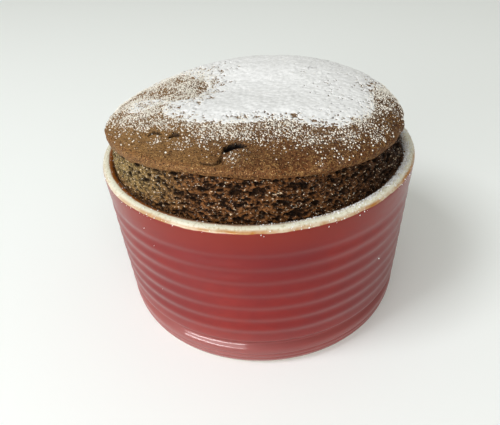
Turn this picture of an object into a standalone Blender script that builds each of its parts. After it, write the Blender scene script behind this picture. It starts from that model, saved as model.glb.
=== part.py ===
"""A chocolate souffle baked in its own ribbed stoneware ramekin.

Metres, +Z up. The origin is the middle of the foot ring's plane, so the dish stands on Z = 0.
The front, which shows the crack in the crust, faces -Y.
The ramekin is turned from one profile. The souffle is one solid of uneven rings: it fills the
dish, climbs past the lip as a stem of open crumb, and ends in a low domed crust with a hollow.
"""

import math

import bmesh
import bpy

MM = 0.001
SEGMENTS = 64                      # facets round both pieces

# Ramekin, outside
DISH_HEIGHT = 52.0 * MM
RIM_RADIUS = 47.5 * MM             # where the coloured glaze ends, just under the lip
WALL_FOOT_RADIUS = 45.8 * MM       # the same straight wall, carried down to Z = 0
FOOT_RADIUS = 43.6 * MM            # outer edge of the flat foot ring
RECESS_RADIUS = 37.5 * MM          # the underside inside the foot ring is raised
RECESS_DEPTH = 1.0 * MM
RECESS_SLOPE = 1.2 * MM

# Ramekin, turned grooves that leave the ribs between them
GROOVES = 8
GROOVE_PITCH = 4.77 * MM
GROOVE_DEPTH = 0.6 * MM
GROOVES_START = 6.6 * MM           # height of the lowest rib's crest
SAMPLES_PER_GROOVE = 4

# Ramekin, lip and inside
LIP_THICKNESS = 3.4 * MM
LIP_RISE = 1.4 * MM                # how far the rounded lip stands over its own middle line
FLOOR_TOP = 5.5 * MM
FLOOR_WALL_RADIUS = 41.0 * MM      # the inner wall, carried down to the floor
FLOOR_ROUND = 6.0 * MM

# Souffle
GAP = 0.3 * MM                     # clearance to the dish
STEM_START = 49.6 * MM             # below this the souffle follows the dish's inner wall
STEM_BULGE = 0.6 * MM
CRUST_CENTRE = (-0.4 * MM, 0.0)
CRUST_RADIUS = 43.3 * MM
CRUST_OVERHANG = 1.7 * MM          # from the crust's widest line in to the stem under it
CRUST_EDGE_HEIGHT = 61.9 * MM      # mean height of the widest line
CRUST_LIP_DROP = 1.9 * MM          # from the widest line down to the crust's lower edge
CRUST_LIP_TUCK = 1.3 * MM
CROWN_RISE = 6.6 * MM              # from the mean edge height up to the crown
CROWN_FALL = 1.0 * MM              # how much the crown sinks from its middle to its edge
CROWN_TILT = 0.4 * MM              # right side over left side, at the edge
SHOULDER_POWER = 3.2               # roundness of the shoulder between crown and edge

# Waves round the crust: order, height in metres, direction of one crest in degrees
RADIUS_WAVES = ((2, 0.55 * MM, 12.0), (3, 0.4 * MM, 62.0))
EDGE_WAVES = ((1, 1.7 * MM, -88.0), (2, 1.85 * MM, 72.0), (3, 0.5 * MM, -30.0))

# Smooth swellings of the crown: centre X, centre Y, width X, width Y, height
HOLLOW = (-6.0 * MM, 4.0 * MM, 16.0 * MM, 11.0 * MM, -1.8 * MM)
FRONT_RIDGE = (4.0 * MM, -19.0 * MM, 26.0 * MM, 9.0 * MM, 0.8 * MM)

DOME_RINGS = 11
LIP_RINGS = 3
STEM_RINGS = 3
WALL_RINGS = 3
ROUND_STEPS = 4                    # steps in each rounded corner of a profile


def clear_scene():
    """Start from nothing."""
    for obj in list(bpy.data.objects):
        bpy.data.objects.remove(obj, do_unlink=True)


def make_material(name, colour, roughness):
    """A plain Principled material with a linear colour."""
    material = bpy.data.materials.new(name)
    material.use_nodes = True
    shader = material.node_tree.nodes["Principled BSDF"]
    shader.inputs["Base Color"].default_value = (*colour, 1.0)
    shader.inputs["Roughness"].default_value = roughness
    shader.inputs["Metallic"].default_value = 0.0
    return material


def add_object(name, bm, material):
    """Turn a bmesh into a smooth-shaded object with its faces pointing out."""
    bmesh.ops.remove_doubles(bm, verts=bm.verts, dist=1e-6)
    bmesh.ops.recalc_face_normals(bm, faces=bm.faces)
    mesh = bpy.data.meshes.new(name)
    bm.to_mesh(mesh)
    bm.free()
    mesh.shade_smooth()
    mesh.set_sharp_from_angle(angle=math.radians(40.0))
    mesh.materials.append(material)
    obj = bpy.data.objects.new(name, mesh)
    bpy.context.collection.objects.link(obj)
    return obj


def ellipse_arc(centre, radii, start, stop, steps):
    """Points along an ellipse's arc, angles in degrees, both ends included."""
    points = []
    for step in range(steps + 1):
        angle = math.radians(start + (stop - start) * step / steps)
        points.append((centre[0] + radii[0] * math.cos(angle), centre[1] + radii[1] * math.sin(angle)))
    return points


def outer_wall(height):
    """Radius of the dish's straight outer wall."""
    lip_middle = DISH_HEIGHT - LIP_RISE
    return WALL_FOOT_RADIUS + (RIM_RADIUS - WALL_FOOT_RADIUS) * height / lip_middle


def inner_wall(height):
    """Radius of the dish's straight inner wall."""
    lip_middle = DISH_HEIGHT - LIP_RISE
    top = RIM_RADIUS - LIP_THICKNESS
    share = (height - FLOOR_TOP) / (lip_middle - FLOOR_TOP)
    return FLOOR_WALL_RADIUS + (top - FLOOR_WALL_RADIUS) * share


def grooved_wall():
    """The outer wall's grooves, from the lowest rib's crest up to the plain band."""
    points = []
    for step in range(GROOVES * SAMPLES_PER_GROOVE + 1):
        turn = step / SAMPLES_PER_GROOVE
        height = GROOVES_START + turn * GROOVE_PITCH
        depth = GROOVE_DEPTH * 0.5 * (1.0 - math.cos(2.0 * math.pi * turn))
        points.append((outer_wall(height) - depth, height))
    return points


def floor_corner(clearance):
    """The rounded corner between the inner wall and the floor, moved in by a clearance."""
    centre = (inner_wall(FLOOR_TOP + FLOOR_ROUND) - FLOOR_ROUND, FLOOR_TOP + FLOOR_ROUND)
    radius = FLOOR_ROUND - clearance
    return ellipse_arc(centre, (radius, radius), 0.0, -90.0, ROUND_STEPS)


def ramekin_profile():
    """Radius and height from the middle of the underside, over the lip, to the middle of the floor."""
    wall_start = outer_wall(GROOVES_START)
    foot_corner = ellipse_arc(
        (FOOT_RADIUS, GROOVES_START), (wall_start - FOOT_RADIUS, GROOVES_START), -90.0, 0.0, ROUND_STEPS
    )
    lip_middle = DISH_HEIGHT - LIP_RISE
    lip = ellipse_arc(
        (RIM_RADIUS - LIP_THICKNESS / 2.0, lip_middle), (LIP_THICKNESS / 2.0, LIP_RISE), 0.0, 180.0, 6
    )
    profile = [(0.0, RECESS_DEPTH), (RECESS_RADIUS - RECESS_SLOPE, RECESS_DEPTH), (RECESS_RADIUS, 0.0)]
    profile += foot_corner[:-1]
    profile += grooved_wall()
    profile += lip
    profile += floor_corner(0.0)
    profile.append((0.0, FLOOR_TOP))
    return profile


def make_ramekin(material):
    """Spin the profile into the dish."""
    bm = bmesh.new()
    verts = [bm.verts.new((radius, 0.0, height)) for radius, height in ramekin_profile()]
    edges = [bm.edges.new(pair) for pair in zip(verts[:-1], verts[1:])]
    bmesh.ops.spin(
        bm,
        geom=verts + edges,
        cent=(0.0, 0.0, 0.0),
        axis=(0.0, 0.0, 1.0),
        angle=2.0 * math.pi,
        steps=SEGMENTS,
        use_merge=True,
    )
    return add_object("ramekin", bm, material)


def waves(angle, terms):
    """Sum of the waves round the crust at an angle in radians."""
    total = 0.0
    for order, size, direction in terms:
        total += size * math.cos(order * (angle - math.radians(direction)))
    return total


def crust_radius(angle):
    return CRUST_RADIUS + waves(angle, RADIUS_WAVES)


def edge_height(angle):
    return CRUST_EDGE_HEIGHT + waves(angle, EDGE_WAVES)


def swelling(x, y, shape):
    """A smooth bump or hollow on the crown."""
    centre_x, centre_y, width_x, width_y, height = shape
    return height * math.exp(-(((x - centre_x) / width_x) ** 2) - ((y - centre_y) / width_y) ** 2)


def crown_height(x, y):
    """Height of the crown before its shoulder rounds down to the edge."""
    height = CRUST_EDGE_HEIGHT + CROWN_RISE + CROWN_TILT * x / CRUST_RADIUS
    height -= CROWN_FALL * (x * x + y * y) / CRUST_RADIUS ** 2
    return height + swelling(x, y, HOLLOW) + swelling(x, y, FRONT_RIDGE)


def dome_point(share, angle):
    """A point of the crust's top; share runs from 0 at its middle to 1 at its widest line."""
    radius = share * crust_radius(angle)
    x = CRUST_CENTRE[0] + radius * math.cos(angle)
    y = CRUST_CENTRE[1] + radius * math.sin(angle)
    edge = edge_height(angle)
    shoulder = math.sqrt(max(0.0, 1.0 - share ** SHOULDER_POWER))
    return (x, y, edge + (crown_height(x, y) - edge) * shoulder)


def lip_point(share, angle):
    """A point of the crust's rounded lower side; share is 0 at the widest line, 1 at the lower edge."""
    turn = share * math.pi / 2.0
    radius = crust_radius(angle) - CRUST_LIP_TUCK * (1.0 - math.cos(turn))
    height = edge_height(angle) - CRUST_LIP_DROP * math.sin(turn)
    return (CRUST_CENTRE[0] + radius * math.cos(angle), CRUST_CENTRE[1] + radius * math.sin(angle), height)


def stem_point(share, angle):
    """A point of the crumb between the crust (share 0) and the dish's lip (share 1)."""
    top = crust_radius(angle) - CRUST_OVERHANG
    radius = top + (inner_wall(STEM_START) - GAP - top) * share + STEM_BULGE * math.sin(math.pi * share)
    start = edge_height(angle) - CRUST_LIP_DROP + GAP
    height = start + (STEM_START - start) * share
    centre_x = CRUST_CENTRE[0] * (1.0 - share)
    centre_y = CRUST_CENTRE[1] * (1.0 - share)
    return (centre_x + radius * math.cos(angle), centre_y + radius * math.sin(angle), height)


def souffle_rings():
    """Rings of points from the crown down to the dish's floor."""
    angles = [2.0 * math.pi * step / SEGMENTS for step in range(SEGMENTS)]
    rings = []
    for step in range(1, DOME_RINGS + 1):
        share = math.sin(math.pi / 2.0 * step / DOME_RINGS)
        rings.append([dome_point(share, angle) for angle in angles])
    for step in range(1, LIP_RINGS + 1):
        rings.append([lip_point(step / LIP_RINGS, angle) for angle in angles])
    for step in range(STEM_RINGS + 1):
        rings.append([stem_point(step / STEM_RINGS, angle) for angle in angles])
    corner_top = FLOOR_TOP + FLOOR_ROUND
    wall = []
    for step in range(1, WALL_RINGS):
        height = STEM_START + (corner_top - STEM_START) * step / WALL_RINGS
        wall.append((inner_wall(height) - GAP, height))
    for radius, height in wall + floor_corner(GAP):
        rings.append([(radius * math.cos(angle), radius * math.sin(angle), height) for angle in angles])
    return rings


def make_souffle(material):
    """Join the rings, and close the crown and the base with fans."""
    bm = bmesh.new()
    rings = [[bm.verts.new(point) for point in ring] for ring in souffle_rings()]
    for upper, lower in zip(rings[:-1], rings[1:]):
        for step in range(SEGMENTS):
            following = (step + 1) % SEGMENTS
            bm.faces.new((upper[step], lower[step], lower[following], upper[following]))
    crown = bm.verts.new(dome_point(0.0, 0.0))
    base = bm.verts.new((0.0, 0.0, FLOOR_TOP + GAP))
    for step in range(SEGMENTS):
        following = (step + 1) % SEGMENTS
        bm.faces.new((crown, rings[0][step], rings[0][following]))
        bm.faces.new((base, rings[-1][following], rings[-1][step]))
    return add_object("souffle", bm, material)


def main():
    clear_scene()
    glaze = make_material("cranberry_glaze", (0.33, 0.045, 0.04), 0.18)
    sponge = make_material("chocolate_sponge", (0.115, 0.055, 0.027), 0.75)
    make_ramekin(glaze)
    make_souffle(sponge)


main()
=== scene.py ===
"""Looks of a chocolate souffle in its ribbed ramekin.

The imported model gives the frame. Every size here is in metres unless a name ends in _MM.
The dish is turned again with finer rings, the crust and the crumb are modelled as baked sponge,
and the icing sugar and crumbs are real grains.
"""

import math

import bmesh
import bpy
import numpy as np
from mathutils import Matrix, Vector


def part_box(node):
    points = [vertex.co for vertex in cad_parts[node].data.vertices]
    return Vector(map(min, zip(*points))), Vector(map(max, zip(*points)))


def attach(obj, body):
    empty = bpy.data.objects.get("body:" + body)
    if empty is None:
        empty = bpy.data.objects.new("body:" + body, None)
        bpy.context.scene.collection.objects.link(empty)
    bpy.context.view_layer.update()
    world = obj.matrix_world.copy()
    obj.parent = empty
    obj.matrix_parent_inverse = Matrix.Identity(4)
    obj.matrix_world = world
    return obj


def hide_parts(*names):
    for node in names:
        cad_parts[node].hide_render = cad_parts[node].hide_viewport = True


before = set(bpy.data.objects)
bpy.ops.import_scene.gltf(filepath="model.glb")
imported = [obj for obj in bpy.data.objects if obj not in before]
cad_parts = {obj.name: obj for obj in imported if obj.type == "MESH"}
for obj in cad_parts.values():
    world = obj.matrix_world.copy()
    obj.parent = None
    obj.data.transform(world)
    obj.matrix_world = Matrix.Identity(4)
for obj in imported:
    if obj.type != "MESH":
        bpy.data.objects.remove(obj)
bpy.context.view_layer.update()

MM = 0.001
DISH_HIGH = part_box("ramekin")[1]
SOUFFLE_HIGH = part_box("souffle")[1]

# ------------------------ sizes of the dish
DISH_HEIGHT = DISH_HIGH.z
RIM_RADIUS = DISH_HIGH.x
LIP_THICKNESS = 3.4 * MM
LIP_RISE = 1.4 * MM
LIP_MIDDLE = DISH_HEIGHT - LIP_RISE
WALL_FOOT_RADIUS = RIM_RADIUS - 1.7 * MM
FOOT_RADIUS = RIM_RADIUS - 3.9 * MM
RECESS_RADIUS = RIM_RADIUS - 10.0 * MM
RECESS_SLOPE = 1.2 * MM
RECESS_DEPTH = 1.0 * MM
GROOVES = 8
GROOVE_PITCH = 4.77 * MM
GROOVE_DEPTH = 0.36 * MM
GROOVES_START = 6.6 * MM
GROOVE_SHARPNESS = 0.95
LOWEST_GROOVE_EXTRA = 0.95 * MM
FOOT_LINES = (4.7 * MM, 3.0 * MM)
FOOT_LINE_WIDTH = 0.35 * MM
FOOT_LINE_DEPTH = 0.34 * MM
# Rings in each stretch of the turned dish, and points to a ring
CORNER_STEPS = 8
INNER_STEPS = 12
LIP_STEPS = 12
UNDER_LIP_STEPS = 9
GROOVE_STEPS = 14
FOOT_STEPS = 44
RAMEKIN_AROUND = 360
WALL_WAVER = 0.10 * MM
WALL_WAVER_SIZE = 16.0 * MM
FLOOR_TOP = 5.5 * MM
FLOOR_WALL_RADIUS = 41.0 * MM
FLOOR_ROUND = 6.0 * MM
GAP = 0.3 * MM
# Radius of the tiny ring left at a turned shape's end until it is merged
POLE = 1e-6

# ------------------------ sizes of the souffle
CRUST_CENTRE = (-0.4 * MM, 0.0)
CRUST_RADIUS = SOUFFLE_HIGH.y - 0.4313 * MM
CRUST_OVERHANG = 1.7 * MM
CRUST_EDGE_HEIGHT = SOUFFLE_HIGH.z - 7.0564 * MM
CRUST_LIP_DROP = 1.9 * MM
CRUST_LIP_TUCK = 1.3 * MM
CROWN_RISE = 6.6 * MM
CROWN_FALL = 1.0 * MM
CROWN_TILT = 0.4 * MM
SHOULDER_POWER = 3.2
# Unevenness of the outline and of its height: how many waves go round, size, direction in degrees
RADIUS_WAVES = ((2, 0.55 * MM, 12.0), (3, 0.4 * MM, 62.0))
EDGE_WAVES = ((1, 1.7 * MM, -88.0), (2, 1.85 * MM, 72.0), (3, 0.5 * MM, -30.0))
# Shallow hollow and ridge in the crown: centre X and Y, width in X and Y, height
HOLLOW = (-6.0 * MM, 4.0 * MM, 16.0 * MM, 11.0 * MM, -1.8 * MM)
FRONT_RIDGE = (4.0 * MM, -19.0 * MM, 26.0 * MM, 9.0 * MM, 0.8 * MM)
STEM_START = 49.6 * MM
STEM_BULGE = 0.6 * MM
CRUMB_BOTTOM = 48.5 * MM
CRUST_CELLS = 284
# Rings of the crust's lip: up to 1 they turn down and under, past 1 they run in to the middle
CRUST_LIP_TURNS = (0.14, 0.28, 0.42, 0.56, 0.7, 0.85, 1.0, 1.15, 1.3)
CRUMB_AROUND = 1240
CRUMB_ROWS = 70
BUBBLE_DEPTH = 1.45
# Bubbles in the crumb: height in millimetres, how much wider than high, share of places taken, seed
BUBBLE_KINDS = ((1.25, 2.1, 0.26, 100), (0.85, 2.0, 0.50, 200), (0.55, 1.7, 0.70, 300))

# ------------------------ camera
LENS_MM = 35.0
SENSOR_MM = 36.0
CAMERA_PLACE = Vector((0.0, -137.4, 121.4)) * MM
CAMERA_AIM = Vector((-3.55, 0.0, 23.57)) * MM
CAMERA_ROLL = math.radians(3.51)

# ------------------------ light
# Name, place, width and height in metres, watts and colour of each soft light
LIGHTS = (
    ("skylight", (-0.84, -0.39, 1.22), 0.52, 0.52, 11.5, "#FBFDFF"),
    ("front_fill", (0.20, -1.10, 1.10), 0.90, 0.90, 4.9, "#FBFCFF"),
    ("low_fill", (-0.38, -0.50, 0.18), 0.50, 0.24, 1.9, "#FFFFFF"),
    ("window", (-0.36, -0.48, 0.12), 0.50, 0.045, 3.0, "#FFFFFF"),
)
LIGHTS_AIM = Vector((0.0, 0.0, 0.03))
ROOM_COLOUR = "#F5F5EA"
ROOM_STRENGTH = 0.45
FLOOR_SIZE = 3.0


# ------------------------ noise and small maths
def lattice_random(cells, seed):
    """A number from 0 to 1 for each whole-number cell."""
    mixed = np.full(cells.shape[:-1], seed * 668265263 + 374761393, np.uint32)
    for axis in range(cells.shape[-1]):
        mixed ^= cells[..., axis].astype(np.int64).astype(np.uint32) * np.uint32(2654435761 + 40503 * axis)
        mixed = (mixed ^ (mixed >> np.uint32(15))) * np.uint32(2246822519)
        mixed ^= mixed >> np.uint32(13)
    mixed = (mixed * np.uint32(3266489917)) ^ (mixed >> np.uint32(16))
    return mixed.astype(np.float64) / 4294967295.0


def value_noise(points, size, seed):
    """Smooth noise from -1 to 1 at points, with features of about size."""
    scaled = points / size
    base = np.floor(scaled)
    blend = scaled - base
    blend = blend * blend * (3.0 - 2.0 * blend)
    total = np.zeros(len(points))
    for corner in range(2 ** points.shape[1]):
        offset = np.array([(corner >> axis) & 1 for axis in range(points.shape[1])])
        weight = np.prod(np.where(offset == 1, blend, 1.0 - blend), axis=1)
        total += weight * lattice_random(base + offset, seed)
    return total * 2.0 - 1.0


def layered_noise(points, size, seed, layers=3):
    """Value noise with finer and weaker layers on top."""
    total = np.zeros(len(points))
    strength = 1.0
    for layer in range(layers):
        total += strength * value_noise(points, size / 2.0 ** layer, seed + 17 * layer)
        strength *= 0.5
    return total / (2.0 - 2.0 ** (1 - layers))


def smoothstep(low, high, value):
    """0 below low, 1 above high, and a smooth rise between."""
    share = np.clip((value - low) / (high - low), 0.0, 1.0)
    return share * share * (3.0 - 2.0 * share)


def waves(angle, terms):
    """Sum of the waves that go round an outline."""
    total = 0.0
    for order, size, direction in terms:
        total = total + size * np.cos(order * (angle - math.radians(direction)))
    return total


# ------------------------ mesh helpers
def make_object(name, points, faces, material, smooth=True):
    """A mesh object at the origin from points and faces, with its place in its mesh."""
    mesh = bpy.data.meshes.new(name)
    mesh.from_pydata([tuple(point) for point in points], [], faces)
    mesh.update()
    if smooth:
        mesh.shade_smooth()
    mesh.materials.append(material)
    obj = bpy.data.objects.new(name, mesh)
    bpy.context.scene.collection.objects.link(obj)
    return obj


def add_attribute(obj, name, values):
    """Store one number for each point of a mesh."""
    attribute = obj.data.attributes.new(name, "FLOAT", "POINT")
    attribute.data.foreach_set("value", np.asarray(values, np.float32))


def ring_faces(rings, around):
    """Quads between rings of equal length, listed from the top of the outside down."""
    faces = []
    for ring in range(rings - 1):
        row = ring * around
        for step in range(around):
            following = (step + 1) % around
            faces.append((row + step, row + around + step, row + around + following, row + following))
    return faces


def grid_quads(side, shown=None):
    """Quads over a square grid with side points to a row, kept where shown is true."""
    index = np.arange(side * side).reshape(side, side)
    corners = [index[:-1, :-1], index[1:, :-1], index[1:, 1:], index[:-1, 1:]]
    quads = np.stack([corner.ravel() for corner in corners], axis=1)
    if shown is None:
        return quads
    return quads[shown.reshape(side, side)[:-1, :-1].ravel()]


def turned(profile, around):
    """Points of a profile of radius and height turned round the dish's axis, and their angles."""
    angle = np.tile(np.linspace(0.0, 2.0 * math.pi, around, endpoint=False), len(profile))
    radius, height = np.repeat(np.asarray(profile), around, axis=0).T
    return np.stack([radius * np.cos(angle), radius * np.sin(angle), height], axis=1), angle


def close_poles(obj):
    """Merge the tiny rings at a turned shape's ends and point the faces outwards."""
    bm = bmesh.new()
    bm.from_mesh(obj.data)
    bmesh.ops.remove_doubles(bm, verts=bm.verts, dist=2.0 * POLE)
    bmesh.ops.recalc_face_normals(bm, faces=bm.faces)
    bm.to_mesh(obj.data)
    bm.free()


# ------------------------ materials
RGBA = "RGBA"
SMOOTH = "SMOOTHSTEP"


def linear(hex_colour):
    """An sRGB hex value as linear RGBA."""
    channels = [int(hex_colour[place:place + 2], 16) / 255.0 for place in (1, 3, 5)]
    curved = [c / 12.92 if c <= 0.04045 else ((c + 0.055) / 1.055) ** 2.4 for c in channels]
    return (*curved, 1.0)


def connect(tree, node, inputs):
    """Link or set each named input of a node."""
    for key, value in inputs.items():
        if isinstance(value, bpy.types.NodeSocket):
            tree.links.new(value, node.inputs[key])
        else:
            node.inputs[key].default_value = value


def add_node(tree, kind, inputs=None, **settings):
    """Add a node, set its properties, and link or set each named input."""
    node = tree.nodes.new(kind)
    for key, value in settings.items():
        setattr(node, key, value)
    connect(tree, node, inputs or {})
    return node


def new_material(name):
    """A material with its Principled shader and an Object coordinate output."""
    material = bpy.data.materials.new(name)
    material.use_nodes = True
    tree = material.node_tree
    shader = tree.nodes["Principled BSDF"]
    coords = add_node(tree, "ShaderNodeTexCoord").outputs["Object"]
    return material, tree, shader, coords


def lay_tints(tree, colour, layers, ramp="LINEAR"):
    """Lay tints over a colour: what places each, its values where it starts and is full, strength, hex."""
    for place, begins, full, strength, tint in layers:
        share = add_node(
            tree, "ShaderNodeMapRange", {0: place, 1: begins, 2: full, 4: strength}, interpolation_type=ramp
        ).outputs[0]
        colour = add_node(
            tree, "ShaderNodeMix", {0: share, 6: colour, 7: linear(tint)}, data_type=RGBA
        ).outputs[2]
    return colour


def glazed_stoneware():
    """Cranberry gloss glaze fired over stoneware, cream glaze on the lip and inside.

    A fired glaze is glassy and slightly wavy; it breaks to orange where it thins under the lip, and baking
    leaves a brown ring inside the lip and a honey stain along its outer edge.
    "from_crest" is the distance in millimetres from the lip's crest, outwards and down.
    """
    material, tree, shader, coords = new_material("cranberry_stoneware_glaze")
    parts = add_node(tree, "ShaderNodeSeparateXYZ", {0: coords}).outputs
    crest = add_node(tree, "ShaderNodeAttribute", attribute_name="from_crest").outputs["Fac"]
    squeezed = add_node(tree, "ShaderNodeMapping", {"Vector": coords, "Scale": (1.0, 1.0, 1.8)}).outputs[0]
    # waver of the glaze's edges, mottle, clouds, specks, smears and orange peel, by size in millimetres
    wobble, mottle, cloud, speck, smear, peel = [
        add_node(tree, "ShaderNodeTexNoise", {
            "Vector": vector, "Scale": 1.0 / (size * MM), "Detail": detail, "Roughness": roughness,
        }).outputs[0]
        for vector, size, detail, roughness in (
            (coords, 5.88, 3.0, 0.5), (squeezed, 4.0, 4.0, 0.6), (coords, 26.3, 2.0, 0.5),
            (coords, 0.8, 3.0, 0.6), (coords, 7.14, 3.0, 0.5), (squeezed, 2.38, 2.0, 0.5),
        )
    ]
    wobble = add_node(tree, "ShaderNodeMapRange", {0: wobble, 1: 0.2, 2: 0.8, 3: -0.3, 4: 0.3}).outputs[0]
    edge = add_node(tree, "ShaderNodeMath", {0: crest, 1: wobble}, operation="ADD").outputs[0]

    # red glaze: mottled, orange under the lip; a painted reflection of the pale table makes it paler and
    # pinker towards the foot, more so on the lit left
    red = lay_tints(tree, linear("#77110C"), [
        (mottle, 0.3, 0.7, 1.0, "#84160D"), (cloud, 0.35, 0.7, 1.0, "#6F1012"),
    ])
    red = lay_tints(tree, red, [(edge, 11.0, 2.2, 1.0, "#7B1A08")], SMOOTH)
    foot = add_node(
        tree, "ShaderNodeMapRange", {0: parts["Z"], 1: 18.0 * MM, 2: 2.0 * MM, 4: 0.60},
        interpolation_type=SMOOTH,
    ).outputs[0]
    lit = add_node(
        tree, "ShaderNodeMapRange", {0: parts["X"], 1: 10.0 * MM, 2: -40.0 * MM, 3: 0.85, 4: 1.6}
    ).outputs[0]
    foot = add_node(tree, "ShaderNodeMath", {0: foot, 1: lit}, operation="MULTIPLY").outputs[0]
    red = add_node(tree, "ShaderNodeMix", {0: foot, 6: red, 7: linear("#9A625F")}, data_type=RGBA).outputs[2]

    # honey stain along the outer edge of the lip, strongest at the front right
    front = add_node(tree, "ShaderNodeMath", {0: parts["Y"], 1: -1.0}, operation="MULTIPLY").outputs[0]
    side = add_node(
        tree, "ShaderNodeMath", {0: parts["X"], 1: 0.45, 2: front}, operation="MULTIPLY_ADD"
    ).outputs[0]
    side = add_node(tree, "ShaderNodeMapRange", {0: side, 1: -10.0 * MM, 2: 42.0 * MM, 3: 0.25}).outputs[0]
    patchy = add_node(tree, "ShaderNodeMapRange", {0: smear, 1: 0.35, 2: 0.6, 3: 0.35}).outputs[0]
    stain = add_node(
        tree, "ShaderNodeMapRange", {0: edge, 1: 0.75, 2: 1.6}, interpolation_type=SMOOTH
    ).outputs[0]
    for share in (side, patchy):
        stain = add_node(tree, "ShaderNodeMath", {0: stain, 1: share}, operation="MULTIPLY").outputs[0]

    # baked butter ring on the inner side of the lip, mostly on the left
    left = add_node(
        tree, "ShaderNodeMapRange", {0: parts["X"], 1: 20.0 * MM, 2: -26.0 * MM, 3: 0.25}
    ).outputs[0]
    baked = add_node(
        tree, "ShaderNodeMapRange", {0: edge, 1: -0.05, 2: -0.55}, interpolation_type=SMOOTH
    ).outputs[0]
    baked = add_node(tree, "ShaderNodeMath", {0: baked, 1: left}, operation="MULTIPLY").outputs[0]

    # cream glaze: fine specks and warm smears, then the stain and the ring
    cream = lay_tints(tree, linear("#DEDBC8"), [
        (speck, 0.52, 0.72, 1.0, "#B8AC8A"), (smear, 0.5, 0.75, 0.4, "#D0C39E"),
        (stain, 0.0, 1.0, 1.0, "#A9702F"), (baked, 0.0, 1.0, 1.0, "#925316"),
    ])

    # cream gives way to red below the lip, and the foot ring is bare
    share = add_node(tree, "ShaderNodeMapRange", {0: edge, 1: 1.95, 2: 2.15}).outputs[0]
    body = add_node(tree, "ShaderNodeMix", {0: share, 6: cream, 7: red}, data_type=RGBA).outputs[2]
    body = lay_tints(tree, body, [(parts["Z"], 0.6 * MM, 0.2 * MM, 1.0, "#CFC6B0")])
    rough = add_node(tree, "ShaderNodeMapRange", {0: mottle, 1: 0.3, 2: 0.7, 3: 0.34, 4: 0.44}).outputs[0]
    relief = add_node(
        tree, "ShaderNodeBump", {"Height": peel, "Distance": 0.02 * MM, "Strength": 0.5}
    ).outputs[0]
    connect(tree, shader, {
        "Base Color": body, "Roughness": rough, "IOR": 1.5, "Specular IOR Level": 0.14,
        "Coat Weight": 0.42, "Coat Roughness": 0.08, "Normal": relief,
    })
    return material


def baked_crust():
    """Baked chocolate crust: dry, matt and finely grained, painted tan on its lit left and darker with
    painted shade to the right, orange-brown at its edge.

    "edge" is 1 along the lower edge, "tear" inside the cracks, which painted shade darkens, and "dust" where
    a little sugar has stuck.
    """
    material, tree, shader, coords = new_material("baked_chocolate_crust")
    parts = add_node(tree, "ShaderNodeSeparateXYZ", {0: coords}).outputs
    edge, dust, tear = [
        add_node(tree, "ShaderNodeAttribute", attribute_name=name).outputs["Fac"]
        for name in ("edge", "dust", "tear")
    ]
    # blotches, grain, fine grain and sugar crystals painted as bright glints, by size in millimetres; a real
    # crust's fine grain and sugar crystals are under 0.2 mm, so these two are drawn as coarse as they need to
    # show
    blotch, grain, fine, painted_crust_glint = [
        add_node(tree, "ShaderNodeTexNoise", {
            "Vector": coords, "Scale": 1.0 / (size * MM), "Detail": detail, "Roughness": roughness,
        }).outputs[0]
        for size, detail, roughness in (
            (8.0, 3.0, 0.5), (0.8475, 4.0, 0.65), (0.42, 2.0, 0.5), (0.3, 1.0, 0.5),
        )
    ]

    # painted light and shade: tan on the lit left, darkening with painted shade to the right; then the baked
    # edge and the grain
    colour = lay_tints(tree, linear("#88643B"), [(parts["X"], -34.0 * MM, 12.0 * MM, 1.0, "#5D361A")], SMOOTH)
    colour = lay_tints(tree, colour, [
        (parts["X"], 6.0 * MM, 36.0 * MM, 0.62, "#3A1F0A"), (blotch, 0.4, 0.7, 0.5, "#4A2B18"),
        (edge, 0.0, 1.0, 0.42, "#724420"), (grain, 0.50, 0.66, 0.75, "#957042"),
        (fine, 0.50, 0.36, 0.9, "#2A1507"), (painted_crust_glint, 0.63, 0.71, 0.85, "#C9A26A"),
    ])
    powder = add_node(tree, "ShaderNodeMapRange", {0: fine, 1: 0.40, 2: 0.62, 3: 0.15}).outputs[0]
    powder = add_node(tree, "ShaderNodeMath", {0: powder, 1: dust}, operation="MULTIPLY").outputs[0]
    # sugar powder, then painted shade that darkens the inside of the cracks
    colour = lay_tints(tree, colour, [(powder, 0.0, 1.0, 1.0, "#B9AC98"), (tear, 0.0, 1.0, 1.0, "#090301")])
    coarse = add_node(tree, "ShaderNodeBump", {"Height": grain, "Distance": 0.30 * MM}).outputs[0]
    relief = add_node(
        tree, "ShaderNodeBump", {"Height": fine, "Distance": 0.16 * MM, "Normal": coarse}
    ).outputs[0]
    connect(tree, shader, {
        "Base Color": colour, "Roughness": 0.62, "IOR": 1.42, "Specular IOR Level": 0.15, "Normal": relief,
    })
    return material


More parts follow.
